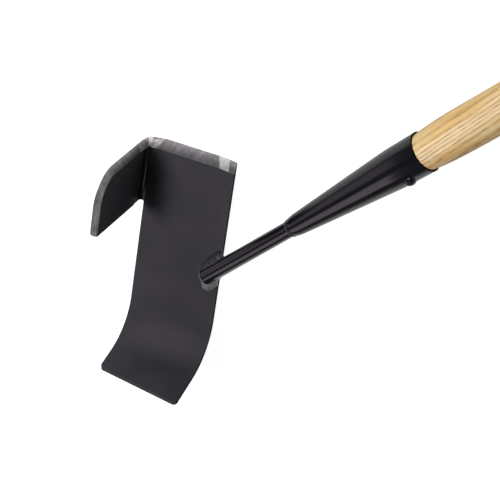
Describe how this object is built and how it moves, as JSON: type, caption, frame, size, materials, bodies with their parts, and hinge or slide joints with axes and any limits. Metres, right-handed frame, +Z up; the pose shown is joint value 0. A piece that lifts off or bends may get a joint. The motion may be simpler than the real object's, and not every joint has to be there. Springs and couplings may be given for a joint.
{
  "type": "draw hoe",
  "caption": "Draw hoe: a steel blade with a folded side wing, a curved end and ground edges, on a welded round shank with a riveted socket and a long ash handle.",
  "frame": {"origin": "centre of the bounding box's base, on the bench that the tool lies on, under the middle of the handle", "axes": "+X along the handle to its butt, +Z up from the bench, so the blade lies with its working face up, its sharpened edge on the bench and its wing standing on the +Y side"},
  "size_m": [1.6512, 0.2005, 0.093],
  "materials": {
    "blade_steel": "satin black paint on steel sheet, with the sharpened edges ground bare after painting",
    "black_paint": "satin black paint over the bar, the beads, the socket and the rivet",
    "ash_wood": "pale straight-grained ash, planed and lightly waxed"
  },
  "bodies": {
    "root": {"blade": "blade_steel", "shank": "black_paint", "weld_upper": "black_paint", "weld_lower": "black_paint", "weld_foot": "black_paint", "socket": "black_paint", "rivet": "black_paint", "handle": "ash_wood"}
  },
  "joints": []
}
